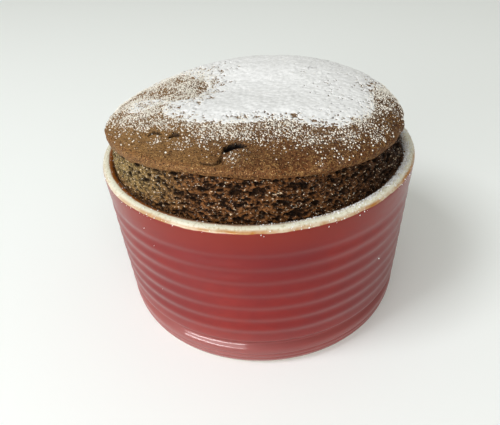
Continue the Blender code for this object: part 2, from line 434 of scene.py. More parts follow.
def open_crumb():
    """Moist chocolate sponge: dark, with painted glints on its cell walls, painted shade in its bubbles and
    on its right, and a greyish tan painted as light on its lit upper left.

    "pore" is 1 at the bottom of a bubble; the other attribute is 1 on the lit upper left.
    """
    material, tree, shader, coords = new_material("open_chocolate_crumb")
    parts = add_node(tree, "ShaderNodeSeparateXYZ", {0: coords}).outputs
    pore, lit_upper_left = [
        add_node(tree, "ShaderNodeAttribute", attribute_name=name).outputs["Fac"] for name in ("pore", "lit_upper_left")
    ]
    squeezed = add_node(tree, "ShaderNodeMapping", {"Vector": coords, "Scale": (1.0, 1.0, 1.6)}).outputs[0]
    # sponge grain, fine grain, blotches and painted highlights for the glints of moist cell walls, by size in
    # millimetres; the fine grain and the glints are finer in a real sponge, and drawn as coarse as they need
    # to show
    grain, fine, blotch, painted_crumb_glint = [
        add_node(tree, "ShaderNodeTexNoise", {
            "Vector": vector, "Scale": 1.0 / (size * MM), "Detail": detail, "Roughness": roughness,
        }).outputs[0]
        for vector, size, detail, roughness in (
            (squeezed, 0.8696, 4.0, 0.75), (squeezed, 0.4, 2.0, 0.5), (coords, 4.0, 2.0, 0.5),
            (squeezed, 0.625, 1.0, 0.5),
        )
    ]

    # sponge colour, darker where the grain is low, partly painted shade in its crevices, with blotches at
    # random
    colour = lay_tints(tree, linear("#220E03"), [
        (grain, 0.43, 0.58, 1.0, "#885830"), (blotch, 0.45, 0.7, 0.45, "#6C421A"),
    ])
    # a paler greyish tan, painted light on the lit upper left
    tan = lay_tints(tree, linear("#483820"), [(grain, 0.43, 0.58, 1.0, "#A58B58")])
    colour = add_node(tree, "ShaderNodeMix", {0: lit_upper_left, 6: colour, 7: tan}, data_type=RGBA).outputs[2]
    # painted shade darkens the bottoms of the bubbles
    painted_pore_shade = add_node(tree, "ShaderNodeMapRange", {0: grain, 1: 0.35, 2: 0.70, 3: 1.0, 4: 0.86}).outputs[0]
    painted_pore_shade = add_node(tree, "ShaderNodeMath", {0: painted_pore_shade, 1: pore}, operation="MULTIPLY").outputs[0]
    # painted shade darkens the right side, away from the light, and painted highlights stand for glints on
    # the moist cell walls
    colour = lay_tints(tree, colour, [
        (parts["X"], 4.0 * MM, 34.0 * MM, 0.78, "#1E0F07"), (painted_crumb_glint, 0.66, 0.71, 0.95, "#EAD4B4"),
        (painted_pore_shade, 0.0, 1.0, 1.0, "#0E0602"),
    ])
    rough = add_node(tree, "ShaderNodeMapRange", {0: fine, 1: 0.4, 2: 0.6, 3: 0.16, 4: 0.60}).outputs[0]
    rough = add_node(tree, "ShaderNodeMath", {0: rough, 1: pore}, operation="MAXIMUM").outputs[0]
    coarse = add_node(tree, "ShaderNodeBump", {"Height": grain, "Distance": 0.42 * MM}).outputs[0]
    relief = add_node(
        tree, "ShaderNodeBump", {"Height": fine, "Distance": 0.20 * MM, "Normal": coarse}
    ).outputs[0]
    connect(tree, shader, {
        "Base Color": colour, "Roughness": rough, "IOR": 1.4, "Specular IOR Level": 0.12, "Normal": relief,
    })
    return material


def icing_sugar(name, shaded, bright):
    """Sifted icing sugar: soft white powder, faintly mottled; single grains take on the brown below them."""
    material, tree, shader, coords = new_material(name)
    # clumps and the drift's soft clouds, by size in millimetres; its own grains, under 0.1 mm, are too
    # fine to show, so the finest pattern is the clumps
    clump, cloud = [
        add_node(tree, "ShaderNodeTexNoise", {
            "Vector": coords, "Scale": 1.0 / (size * MM), "Detail": detail, "Roughness": roughness,
        }).outputs[0]
        for size, detail, roughness in ((1.111, 4.0, 0.6), (7.14, 3.0, 0.5))
    ]
    colour = lay_tints(tree, linear(shaded), [
        (clump, 0.28, 0.6, 1.0, bright), (cloud, 0.5, 0.72, 0.35, shaded),
    ])
    relief = add_node(
        tree, "ShaderNodeBump", {"Height": clump, "Distance": 0.06 * MM, "Strength": 0.5}
    ).outputs[0]
    connect(tree, shader, {
        "Base Color": colour, "Roughness": 0.9, "IOR": 1.45, "Specular IOR Level": 0.25, "Normal": relief,
    })
    return material


def loose_crumb():
    """Loose baked crumbs: dark, dry chocolate sponge."""
    material, tree, shader, coords = new_material("dry_chocolate_crumbs")
    grain = add_node(
        tree, "ShaderNodeTexNoise", {"Vector": coords, "Scale": 1.0 / (0.4 * MM), "Detail": 3.0}
    ).outputs[0]
    colour = lay_tints(tree, linear("#2E1A0C"), [(grain, 0.35, 0.65, 1.0, "#704A24")])
    relief = add_node(
        tree, "ShaderNodeBump", {"Height": grain, "Distance": 0.08 * MM, "Strength": 0.7}
    ).outputs[0]
    connect(tree, shader, {"Base Color": colour, "Roughness": 0.65, "Normal": relief})
    return material


def pale_floor():
    """Matt white table top."""
    material, tree, shader, _ = new_material("matt_white_table")
    connect(tree, shader, {"Base Color": linear("#F5F8F7"), "Roughness": 0.6})
    return material


# ------------------------ ramekin
def ellipse_arc(centre, radii, start, stop, steps):
    """Points along an ellipse's arc, angles in degrees, both ends included."""
    angles = np.radians(np.linspace(start, stop, steps + 1))
    return [(centre[0] + radii[0] * math.cos(a), centre[1] + radii[1] * math.sin(a)) for a in angles]


def outer_wall(height):
    """Radius of the dish's outside at a height, before the grooves."""
    return WALL_FOOT_RADIUS + (RIM_RADIUS - WALL_FOOT_RADIUS) * height / LIP_MIDDLE


def inner_wall(height):
    """Radius of the dish's inside at a height."""
    share = (height - FLOOR_TOP) / (LIP_MIDDLE - FLOOR_TOP)
    return FLOOR_WALL_RADIUS + (RIM_RADIUS - LIP_THICKNESS - FLOOR_WALL_RADIUS) * share


def floor_corner():
    """Radius and height of the centre of the curve between the dish's floor and its inside wall."""
    height = FLOOR_TOP + FLOOR_ROUND
    return inner_wall(height) - FLOOR_ROUND, height


def ramekin_profile():
    """Radius and height from the middle of the floor, over the lip, down to the middle of the underside."""
    corner = floor_corner()
    points = [(POLE, FLOOR_TOP), (corner[0] * 0.5, FLOOR_TOP)]
    points += ellipse_arc(corner, (FLOOR_ROUND, FLOOR_ROUND), -90.0, 0.0, CORNER_STEPS)
    for share in np.linspace(0.1, 0.97, INNER_STEPS):
        height = corner[1] + (LIP_MIDDLE - corner[1]) * share
        points.append((inner_wall(height), height))
    lip_radii = (LIP_THICKNESS / 2.0, LIP_RISE)
    points += ellipse_arc((RIM_RADIUS - lip_radii[0], LIP_MIDDLE), lip_radii, 180.0, 90.0, LIP_STEPS)
    crest = len(points) - 1
    points += ellipse_arc((RIM_RADIUS - lip_radii[0], LIP_MIDDLE), lip_radii, 90.0, 0.0, LIP_STEPS)[1:]
    grooves_end = GROOVES_START + GROOVES * GROOVE_PITCH
    for height in np.linspace(LIP_MIDDLE, grooves_end, UNDER_LIP_STEPS + 1)[1:-1]:
        points.append((outer_wall(height), height))
    for turn in np.linspace(GROOVES, 0.0, GROOVES * GROOVE_STEPS + 1):
        height = GROOVES_START + turn * GROOVE_PITCH
        depth = GROOVE_DEPTH + (LOWEST_GROOVE_EXTRA if turn < 1.0 else 0.0)
        dip = (0.5 - 0.5 * math.cos(2.0 * math.pi * turn)) ** GROOVE_SHARPNESS
        points.append((outer_wall(height) - depth * dip, height))
    foot_radii = (outer_wall(GROOVES_START) - FOOT_RADIUS, GROOVES_START)
    foot = ellipse_arc((FOOT_RADIUS, GROOVES_START), foot_radii, 0.0, -90.0, FOOT_STEPS)[1:]
    for radius, height in foot:
        dip = sum(math.exp(-((height - line) / FOOT_LINE_WIDTH) ** 2) for line in FOOT_LINES)
        points.append((radius - FOOT_LINE_DEPTH * dip, height))
    points += [(RECESS_RADIUS, 0.0), (RECESS_RADIUS - RECESS_SLOPE, RECESS_DEPTH)]
    points += [(RECESS_RADIUS * 0.5, RECESS_DEPTH), (POLE, RECESS_DEPTH)]
    return np.array(points), crest


def make_ramekin(material):
    """The turned dish, with the slight unevenness of a hand-finished wall."""
    profile, crest = ramekin_profile()
    points, angle = turned(profile, RAMEKIN_AROUND)
    radius, height = np.repeat(profile, RAMEKIN_AROUND, axis=0).T
    wall = smoothstep(2.0 * MM, 8.0 * MM, height) * (1.0 - smoothstep(44.0 * MM, 50.0 * MM, height))
    wall = wall * (radius > (outer_wall(height) + inner_wall(height)) / 2.0)
    uneven = layered_noise(points * (1.0, 1.0, 1.8), WALL_WAVER_SIZE, 3, 2) * WALL_WAVER * wall
    uneven -= np.abs(uneven).max() * wall * 0.5
    points[:, 0] += uneven * np.cos(angle)
    points[:, 1] += uneven * np.sin(angle)
    obj = make_object("ramekin_glazed", points, ring_faces(len(profile), RAMEKIN_AROUND), material)
    steps = np.hypot(*np.diff(profile, axis=0).T)
    length = np.concatenate([[0.0], np.cumsum(steps)])
    add_attribute(obj, "from_crest", np.repeat((length - length[crest]) / MM, RAMEKIN_AROUND))
    close_poles(obj)
    return obj


# ------------------------ souffle: shared outline
def crust_radius(angle):
    """Radius of the crust's widest line."""
    return CRUST_RADIUS + waves(angle, RADIUS_WAVES)


def edge_height(angle):
    """Height of the crust's widest line."""
    return CRUST_EDGE_HEIGHT + waves(angle, EDGE_WAVES)


def swelling(x, y, shape):
    """Height of a soft oval hump, or of a hollow where its height is negative."""
    centre_x, centre_y, width_x, width_y, height = shape
    return height * np.exp(-(((x - centre_x) / width_x) ** 2) - ((y - centre_y) / width_y) ** 2)


def crown_height(x, y):
    """Height of the low crown, before it bends down to the crust's edge."""
    height = CRUST_EDGE_HEIGHT + CROWN_RISE + CROWN_TILT * x / CRUST_RADIUS
    height = height - CROWN_FALL * (x * x + y * y) / CRUST_RADIUS ** 2
    return height + swelling(x, y, HOLLOW) + swelling(x, y, FRONT_RIDGE)


def dome(share, angle):
    """Smooth crust surface: share is 0 at the middle and 1 at the widest line."""
    radius = share * crust_radius(angle)
    x = CRUST_CENTRE[0] + radius * np.cos(angle)
    y = CRUST_CENTRE[1] + radius * np.sin(angle)
    edge = edge_height(angle)
    shoulder = np.sqrt(np.clip(1.0 - share ** SHOULDER_POWER, 0.0, 1.0))
    return np.stack([x, y, edge + (crown_height(x, y) - edge) * shoulder], axis=1)


def polar_place(x, y):
    """Share of the crust's radius and angle of a place on the crown."""
    angle = np.arctan2(y - CRUST_CENTRE[1], x - CRUST_CENTRE[0])
    return np.hypot(x - CRUST_CENTRE[0], y - CRUST_CENTRE[1]) / crust_radius(angle), angle


def crown_surface(share, angle, lift=0.0):
    """The crust with its relief, raised along its own normal, and how deep in a tear each point is."""
    points = dome(share, angle)
    step = 1e-3
    near = np.clip(share, 0.02, 1.0 - step)
    outwards = dome(near + step, angle) - dome(near - step, angle)
    sideways = dome(near, angle + step) - dome(near, angle - step)
    normal = np.cross(outwards, sideways)
    normal /= np.linalg.norm(normal, axis=1)[:, None]
    relief, tear = crust_relief(points)
    return points + normal * (relief + lift)[:, None], tear


# Tears in the crust: points in millimetres on the crown, half width and depth in millimetres
TEARS = (
    (((-8.2, -35.9), (-6.6, -34.4), (-5.0, -33.7), (-2.9, -33.9)), 1.15, 2.6),
    (((-8.4, -36.6), (-8.6, -39.2), (-10.2, -40.0), (-13.0, -39.2)), 0.48, 0.9),
    (((-27.6, -24.8), (-26.2, -23.8), (-24.4, -24.8)), 0.55, 1.4),
    (((-22.0, -27.0), (-20.8, -25.9), (-19.2, -26.8)), 0.64, 1.7),
)
# Lumps where the crust swelled: centre X and Y, width, height, all in millimetres
LUMPS = (
    (-4.4, -38.0, 2.8, 0.75), (3.5, -41.5, 2.6, 0.5), (38.0, -14.0, 3.0, 0.6), (41.0, -6.0, 2.6, 0.5),
    (35.0, -23.0, 2.8, 0.4), (-30.0, -28.0, 4.5, 0.35), (14.0, -39.0, 4.0, 0.35), (-14.5, -35.5, 4.5, 0.55),
    (-26.5, -21.0, 3.0, 0.35), (-20.5, -23.3, 2.6, 0.35), (-5.0, -31.0, 3.0, 0.35),
)


def distance_to_path(x, y, path):
    """Distance from places to a path of straight pieces, and how far along it the nearest point is."""
    nearest = np.full(len(x), 1e9)
    along = np.zeros(len(x))
    pieces = len(path) - 1
    for place in range(pieces):
        start = np.array(path[place])
        step = np.array(path[place + 1]) - start
        share = np.clip(((x - start[0]) * step[0] + (y - start[1]) * step[1]) / (step @ step), 0.0, 1.0)
        distance = np.hypot(x - start[0] - share * step[0], y - start[1] - share * step[1])
        closer = distance < nearest
        nearest = np.where(closer, distance, nearest)
        along = np.where(closer, (place + share) / pieces, along)
    return nearest, along


def crust_relief(points):
    """Height to add to the smooth crust, and how deep in a tear each point is."""
    x, y = points[:, 0] / MM, points[:, 1] / MM
    # broad swells, dimples and grain, in millimetres
    relief = 0.34 * layered_noise(points, 9.0 * MM, 21, 3) + 0.13 * layered_noise(points, 2.0 * MM, 5, 2)
    relief += 0.12 * value_noise(points, 0.8 * MM, 9)
    for centre_x, centre_y, width, height in LUMPS:
        relief += height * np.exp(-((x - centre_x) ** 2 + (y - centre_y) ** 2) / width ** 2)
    # each tear sinks between raised edges and narrows to its ends
    tear = np.zeros(len(x))
    jitter = 0.22 * value_noise(points, 1.1 * MM, 31)
    for path, half_width, depth in TEARS:
        distance, along = distance_to_path(x + jitter, y - jitter, path)
        taper = np.clip(np.sin(math.pi * np.clip(along, 0.02, 0.98)), 0.0, 1.0) ** 0.35
        inside = 1.0 - smoothstep(0.50, 1.05, distance / (half_width * taper + 0.05))
        relief -= depth * inside * taper
        raised = np.exp(-((distance - 1.7 * half_width) / (1.1 * half_width)) ** 2)
        relief += 0.18 * half_width * raised * taper
        # how dark the painted shade inside the tear is
        dark = 1.0 - smoothstep(0.92, 1.20, distance / (half_width * taper + 0.05))
        tear = np.maximum(tear, dark * min(1.0, depth / 1.9))
    return relief * MM, tear


# Front limit of the sifted sugar in millimetres: how far forward the drift reaches at each X
DRIFT_X = (-43.0, -38.0, -30.0, -24.0, -18.0, -8.0, 2.0, 9.0, 15.0, 22.0, 27.0, 31.0, 34.0, 38.0, 44.0)
DRIFT_Y = (-1.0, -7.0, -12.5, -13.5, -17.5, -21.5, -21.5, -21.5, -24.5, -26.0, -22.0, -15.0, -8.0, -4.0, 3.0)
# Thin places in the drift: centre X and Y, width in X and Y, and how much is missing
THIN_SUGAR = (
    (-16.0, 6.0, 7.5, 12.0, 0.50), (-27.0, 7.0, 8.5, 13.0, 0.55), (-37.0, 7.0, 8.0, 12.0, 0.55),
    (-41.0, -3.0, 4.5, 8.0, 0.40), (-28.0, -9.0, 9.0, 7.0, 0.42), (41.0, 4.0, 6.0, 14.0, 0.46),
    (37.0, -6.0, 5.0, 9.0, 0.44), (-22.0, 22.0, 14.0, 10.0, 0.40), (-19.0, -3.0, 6.0, 4.0, 0.26),
    (2.0, -24.0, 20.0, 4.0, 0.14), (26.0, -25.0, 5.0, 4.0, 0.20),
)
# Dust that has drifted onto the bare front: centre X and Y, width and how thick
DUST_SPOTS = (
    (-25.0, -28.0, 1.3, 0.30), (-19.0, -31.5, 1.6, 0.20), (-5.6, -38.4, 2.0, 0.20), (-12.0, -28.5, 3.4, 0.20),
    (29.4, -28.4, 1.1, 0.36), (31.0, -27.0, 0.9, 0.34), (27.4, -26.4, 1.1, 0.12), (19.6, -37.6, 1.0, 0.30),
    (12.0, -31.5, 3.0, 0.16), (-4.0, -29.5, 3.0, 0.14), (4.0, -31.0, 2.4, 0.10), (22.0, -31.0, 1.3, 0.25),
    (33.5, -24.0, 1.1, 0.22), (14.5, -40.0, 1.0, 0.25),
)


def sugar_cover(x, y):
    """Share of the crust that sugar hides at a place in millimetres."""
    behind = y - np.interp(x, DRIFT_X, DRIFT_Y)
    # the drift thins out more slowly at the right, and fewer stray grains lie in front of it there
    behind = np.where(x > 29.0, behind * 0.72, behind)
    cover = 0.05 * smoothstep(-20.0, -9.0, behind) + 0.17 * smoothstep(-13.0, -6.0, behind)
    cover = cover * (1.0 - 0.60 * smoothstep(8.0, 22.0, x))
    cover = cover + 0.36 * smoothstep(-8.5, -0.5, behind) + 0.46 * smoothstep(-4.0, 6.5, behind)
    for centre_x, centre_y, width_x, width_y, missing in THIN_SUGAR:
        spot = np.exp(-((x - centre_x) / width_x) ** 2 - ((y - centre_y) / width_y) ** 2)
        cover = cover * (1.0 - missing * spot)
    for centre_x, centre_y, width, thickness in DUST_SPOTS:
        cover = cover + thickness * np.exp(-((x - centre_x) ** 2 + (y - centre_y) ** 2) / width ** 2)
    return np.clip(cover, 0.0, 1.04)


def evenly_ranked(values):
    """Values replaced by their rank from 0 to 1, so that a share of them lies below that share."""
    order = np.empty(len(values))
    order[np.argsort(values)] = np.arange(len(values))
    return order / len(values)


def make_crust(material):
    """The whole crust as one closed cap: relief on its top, a rounded lip and a flat hidden underside."""
    # a square grid bent to a disc, so that no faces crowd in its middle
    row = CRUST_CELLS + 1
    line = np.linspace(-1.0, 1.0, row)
    u, v = (grid.ravel() for grid in np.meshgrid(line, line, indexing="ij"))
    wide = np.abs(u) > np.abs(v)
    reach = np.where(wide, np.abs(u), np.abs(v))
    turn = np.where(wide, v, u) / np.where(reach == 0.0, 1.0, np.where(wide, u, v)) * math.pi / 4.0
    angle = np.where(wide, np.where(u > 0.0, turn, math.pi + turn), 0.0)
    angle = np.where(wide, angle, np.where(v > 0.0, math.pi / 2.0 - turn, 1.5 * math.pi - turn))
    # rows closer together towards the edge, where the crust bends down
    share = np.sin(reach * math.pi / 2.0) * 0.5 + reach * 0.5
    points, tear = crown_surface(share, angle)
    faces = grid_quads(row).tolist()

    # the lip turns down and under from the grid's border
    index = np.arange(row * row).reshape(row, row)
    border = np.concatenate([index[:-1, 0], index[-1, :-1], index[:0:-1, -1], index[0, :0:-1]])
    around = len(border)
    rim = angle[border]
    rim_radius = np.hypot(points[border, 0] - CRUST_CENTRE[0], points[border, 1] - CRUST_CENTRE[1])
    soft = left_share(rim)
    ragged = 0.30 * layered_noise(points[border], 5.0 * MM, 77, 2)
    ragged += 0.34 * layered_noise(points[border], 1.7 * MM, 78, 2)
    below = CRUST_LIP_DROP * (1.0 + 0.9 * soft) + ragged * MM
    tuck = CRUST_LIP_TUCK * (1.0 + 0.3 * soft)
    extra = []
    for step in CRUST_LIP_TURNS:
        lip_turn = min(step, 1.0) * math.pi / 2.0
        radius = rim_radius - tuck * (1.0 - math.cos(lip_turn)) - max(step - 1.0, 0.0) * 8.0 * MM
        height = points[border, 2] - below * math.sin(lip_turn)
        flat_ring = [CRUST_CENTRE[0] + radius * np.cos(rim), CRUST_CENTRE[1] + radius * np.sin(rim), height]
        ring = np.stack(flat_ring, axis=1)
        grain = 0.16 * MM * layered_noise(ring, 1.3 * MM, 13, 2) * (step < 1.0)
        ring[:, 0] += grain * np.cos(rim)
        ring[:, 1] += grain * np.sin(rim)
        extra.append(ring)
    start = len(points)
    previous = border
    for ring in range(len(extra)):
        current = np.arange(start + ring * around, start + (ring + 1) * around)
        faces += np.stack([previous, np.roll(previous, -1), np.roll(current, -1), current], axis=1).tolist()
        previous = current
    middle = start + len(extra) * around
    faces += [[int(a), int(b), middle] for a, b in zip(previous, np.roll(previous, -1))]
    centre = np.array([[CRUST_CENTRE[0], CRUST_CENTRE[1], CRUST_EDGE_HEIGHT - 2.5 * MM]])
    everything = np.concatenate([points] + extra + [centre])
    obj = make_object("souffle_crust", everything, faces, material)
    rest = len(everything) - len(points)
    add_attribute(obj, "edge", np.concatenate([smoothstep(0.955, 1.0, share), np.ones(rest)]))
    add_attribute(obj, "tear", np.concatenate([tear, np.zeros(rest)]))
    cover = sugar_cover(points[:, 0] / MM, points[:, 1] / MM)
    add_attribute(obj, "dust", np.concatenate([0.30 * np.minimum(cover * 1.4, 1.0), np.zeros(rest)]))
    close_poles(obj)
    return obj


def left_share(angle):
    """1 on the left side, 0 elsewhere."""
    return smoothstep(0.48, 0.95, np.cos(angle - math.radians(190.0)))


# ------------------------ souffle: crumb
def bubbles(along, up, size, stretch, fill, seed, length):
    """Depth of round-bottomed bubbles scattered one to a cell over a strip that closes on itself."""
    cells = round(length / (size * stretch))
    grid = np.stack([along / length * cells, up / size], axis=1)
    base = np.floor(grid)
    depth = np.zeros(len(along))
    for step_x in (-1, 0, 1):
        for step_y in (-1, 0, 1):
            cell = base + (step_x, step_y)
            wrapped = np.stack([np.mod(cell[:, 0], cells), cell[:, 1]], axis=1)
            offset = np.stack([lattice_random(wrapped, seed), lattice_random(wrapped, seed + 1)], axis=1)
            taken = lattice_random(wrapped, seed + 2) < fill
            # a cell that isn't taken gets a bubble too small to show
            radius = np.where(taken, 0.26 + 0.36 * lattice_random(wrapped, seed + 3), 1e-6)
            distance = np.hypot(*(grid - cell - offset).T)
            inside = np.clip(1.0 - (distance / radius) ** 3, 0.0, 1.0)
            depth = np.maximum(depth, np.sqrt(inside) * radius)
    return depth * size


def stem_surface(angle, down):
    """The smooth side of the crumb: down is 0 under the crust and 1 a little below the rim."""
    top_radius = crust_radius(angle) - CRUST_OVERHANG
    start = edge_height(angle) - CRUST_LIP_DROP + 0.8 * MM
    radius = top_radius + (inner_wall(STEM_START) - GAP - top_radius) * down
    radius = radius + STEM_BULGE * np.sin(math.pi * down)
    centre_x = CRUST_CENTRE[0] * (1.0 - down)
    height = start + (CRUMB_BOTTOM - start) * down
    return np.stack([centre_x + radius * np.cos(angle), radius * np.sin(angle), height], axis=1)


def make_crumb(material):
    """The stem of open crumb from under the crust down to the floor of the dish."""
    around = CRUMB_AROUND
    angle = np.tile(np.linspace(0.0, 2.0 * math.pi, around, endpoint=False), CRUMB_ROWS)
    down = np.repeat(np.linspace(0.0, 1.0, CRUMB_ROWS), around)
    flat = stem_surface(angle, down)
    height = flat[:, 2]
    length = 2.0 * math.pi * CRUST_RADIUS
    bend = 0.45 * MM * layered_noise(flat, 1.6 * MM, 41, 2)
    slope = 0.8 * MM * value_noise(flat, 7.0 * MM, 43)
    along = angle * CRUST_RADIUS + bend
    up = height + 0.6 * bend + slope
    # bubbles, fewer on the lit upper left and none at the strip's ends
    depth = np.zeros(len(angle))
    for size, stretch, fill, seed in BUBBLE_KINDS:
        depth = np.maximum(depth, bubbles(along, up, size * MM, stretch, fill, seed, length))
    # 1 on the upper left, where the crumb material paints a paler tan as painted light
    lit_upper_left = left_share(angle) * (1.0 - smoothstep(0.45, 0.95, down))
    open_share = (1.0 - 0.45 * lit_upper_left) * smoothstep(0.0, 0.08, down) * (1.0 - smoothstep(0.93, 1.0, down))
    depth = BUBBLE_DEPTH * depth * open_share
    rough = 0.34 * layered_noise(flat * (1.0, 1.0, 1.5), 1.1 * MM, 51, 3)
    wide = 0.40 * layered_noise(flat, 8.0 * MM, 61, 2)
    push = (wide + rough) * MM * (1.0 - smoothstep(0.93, 1.0, down)) - depth
    # the crumb stays clear of the dish below the lip
    room = inner_wall(STEM_START) - GAP - np.hypot(flat[:, 0], flat[:, 1])
    push = np.where(height < LIP_MIDDLE + 0.6 * MM, np.minimum(push, room), push)
    points = flat + np.stack([push * np.cos(angle), push * np.sin(angle), 0.0 * push], axis=1)
    # plain hidden rings down the dish
    hidden = ellipse_arc(floor_corner(), (FLOOR_ROUND - GAP, FLOOR_ROUND - GAP), 0.0, -90.0, 3)
    hidden.append((POLE, FLOOR_TOP + GAP))
    lid, _ = turned([(POLE, height.max())], around)
    lining, _ = turned(hidden, around)
    everything = np.concatenate([lid, points, lining])
    obj = make_object("souffle_crumb", everything, ring_faces(len(everything) // around, around), material)
    values = np.zeros((2, len(everything)))
    values[0, around:around + len(depth)] = smoothstep(0.12 * MM, 0.46 * MM, depth)
    values[1, around:around + len(depth)] = lit_upper_left
    add_attribute(obj, "pore", values[0])
    add_attribute(obj, "lit_upper_left", values[1])
    close_poles(obj)
    return obj


# ------------------------ sugar
# The layer starts where sugar hides this share of the crust; loose grains take over below it
LAYER_LEAST_COVER = 0.50
LAYER_CELL = 0.37 * MM
# Cell of the plain grid that loose grains are scattered on
SCATTER_CELL = 0.6 * MM


def crown_grid(cell):
    """Places of a square grid over the crust, and how many there are to a row."""
    count = int(2.0 * CRUST_RADIUS / cell)
    line = (np.arange(count + 1) - count / 2.0) * cell
    x, y = (grid.ravel() for grid in np.meshgrid(line, line, indexing="ij"))
    return x, y, count + 1


def make_sugar_layer(material):
    """The drift of sugar: a thin closed shell over the crust, open where the crust shows through."""
    cell = LAYER_CELL
    x, y, row = crown_grid(cell)
    places = np.stack([x, y], axis=1) / cell + 5000.0
    speckle = 0.62 * lattice_random(places, 80) + 0.38 * value_noise(places * cell, 0.9 * MM, 81)
    speckle = evenly_ranked(speckle + 0.30 * layered_noise(places * cell, 3.2 * MM, 83, 2))
    x = x + (lattice_random(places, 71) - 0.5) * 0.6 * cell
    y = y + (lattice_random(places, 72) - 0.5) * 0.6 * cell
    share, angle = polar_place(x, y)
    cover = np.where(share < 0.985, sugar_cover(x / MM, y / MM), 0.0)
    lift = 0.10 + 0.22 * smoothstep(0.6, 1.0, cover) + 0.07 * value_noise(places * cell, 0.8 * MM, 84)
    lift = lift + 0.10 * layered_noise(places * cell, 4.0 * MM, 85, 2) * smoothstep(0.8, 1.0, cover)
    upper, tear = crown_surface(share, angle, np.clip(lift, 0.06, 0.6) * MM)
    lower, _ = crown_surface(share, angle, -0.10 * MM)
    quads = grid_quads(row, (cover > speckle) & (tear < 0.2) & (cover > LAYER_LEAST_COVER))
    # the shell's top, its underside and a wall along every open edge
    used = np.zeros(row * row, bool)
    used[quads.ravel()] = True
    total = int(used.sum())
    quads = (np.cumsum(used) - 1)[quads]
    faces = quads.tolist() + (quads[:, ::-1] + total).tolist()
    sides = np.concatenate([quads[:, [place, (place + 1) % 4]] for place in range(4)])
    pairs = set(map(tuple, sides.tolist()))
    faces += [[a, a + total, b + total, b] for a, b in sorted(pairs) if (b, a) not in pairs]
    return make_object("icing_sugar_layer", np.concatenate([upper[used], lower[used]]), faces, material)


def grain_tree():
    """Scatter faceted lumps on a surface by its "amount" attribute.

    A grain of icing sugar is too fine to show, so each lump is a small clump, as coarse as it needs to be.
    """
    sizes = (
        ("Geometry", "NodeSocketGeometry"),
        ("Grains per square metre", "NodeSocketFloat"), ("Smallest", "NodeSocketFloat"),
        ("Largest", "NodeSocketFloat"), ("Sides", "NodeSocketInt"),
        ("Seed", "NodeSocketInt"), ("Material", "NodeSocketMaterial"),
    )
    tree = bpy.data.node_groups.new("scattered_grains", "GeometryNodeTree")
    for label, kind in sizes:
        tree.interface.new_socket(label, in_out="INPUT", socket_type=kind)
    tree.interface.new_socket("Geometry", in_out="OUTPUT", socket_type="NodeSocketGeometry")
    inputs = add_node(tree, "NodeGroupInput").outputs
    seed = inputs["Seed"]
    amount = add_node(
        tree, "GeometryNodeInputNamedAttribute", {"Name": "amount"}, data_type="FLOAT"
    ).outputs["Attribute"]
    density = add_node(
        tree, "ShaderNodeMath", {0: amount, 1: inputs["Grains per square metre"]}, operation="MULTIPLY"
    ).outputs[0]
    points = add_node(
        tree, "GeometryNodeDistributePointsOnFaces",
        {"Mesh": inputs["Geometry"], "Density": density, "Seed": seed}, distribute_method="RANDOM",
    ).outputs["Points"]
    lump = add_node(
        tree, "GeometryNodeMeshUVSphere", {"Segments": inputs["Sides"], "Rings": 2, "Radius": 0.56}
    ).outputs["Mesh"]
    spin = add_node(
        tree, "FunctionNodeRandomValue", {"Min": (0.0, 0.0, 0.0), "Max": (6.28, 6.28, 6.28), "Seed": seed},
        data_type="FLOAT_VECTOR",
    ).outputs["Value"]
    spread = add_node(tree, "FunctionNodeRandomValue", {"Seed": seed}, data_type="FLOAT").outputs[1]
    skewed = add_node(tree, "ShaderNodeMath", {0: spread, 1: 2.2}, operation="POWER").outputs[0]
    size = add_node(
        tree, "ShaderNodeMix", {0: skewed, 2: inputs["Smallest"], 3: inputs["Largest"]}, data_type="FLOAT"
    ).outputs[0]
    stretch = add_node(
        tree, "FunctionNodeRandomValue", {"Min": (0.7, 0.7, 0.5), "Max": (1.25, 1.25, 0.95), "Seed": seed},
        data_type="FLOAT_VECTOR",
    ).outputs["Value"]
    scale = add_node(tree, "ShaderNodeVectorMath", {0: stretch, "Scale": size}, operation="SCALE").outputs[0]
    placed = add_node(
        tree, "GeometryNodeInstanceOnPoints",
        {"Points": points, "Instance": lump, "Rotation": spin, "Scale": scale},
    ).outputs["Instances"]
    real = add_node(tree, "GeometryNodeRealizeInstances", {"Geometry": placed}).outputs["Geometry"]
    coated = add_node(
        tree, "GeometryNodeSetMaterial", {"Geometry": real, "Material": inputs["Material"]}
    ).outputs["Geometry"]
    add_node(tree, "NodeGroupOutput", {"Geometry": coated})
    return tree


def scatter(name, surface_points, surface_faces, amount, tree, settings, material):
    """Run the grain tree on a surface that isn't kept, and keep the grains as one plain mesh."""
    carrier = make_object(name + "_carrier", surface_points, surface_faces, material)
    add_attribute(carrier, "amount", amount)
    modifier = carrier.modifiers.new("grains", "NODES")
    modifier.node_group = tree
    sockets = {item.name: item.identifier for item in tree.interface.items_tree if item.in_out == "INPUT"}
    for label, value in settings.items():
        modifier[sockets[label]] = value
    modifier[sockets["Material"]] = material
    bpy.context.view_layer.update()
    evaluated = carrier.evaluated_get(bpy.context.evaluated_depsgraph_get())
    mesh = bpy.data.meshes.new_from_object(evaluated)
    carrier.modifiers.clear()
    bpy.data.objects.remove(carrier, do_unlink=True)
    mesh.name = name
    if not mesh.materials:
        mesh.materials.append(material)
    obj = bpy.data.objects.new(name, mesh)
    bpy.context.scene.collection.objects.link(obj)
    return obj


def crown_patch(cell):
    """A plain grid over the crust for scattering on."""
    x, y, row = crown_grid(cell)
    share, angle = polar_place(x, y)
    points, tear = crown_surface(np.minimum(share, 1.0), angle, 0.05 * MM)
    return points, grid_quads(row, share < 0.995).tolist(), x / MM, y / MM, tear


def ring_patch(profile, around):
    """A plain strip turned round the dish's axis, for scattering on, with its angles in degrees."""
    points, angle = turned(profile, around)
    return points, ring_faces(len(profile), around), np.mod(np.degrees(angle) + 180.0, 360.0) - 180.0


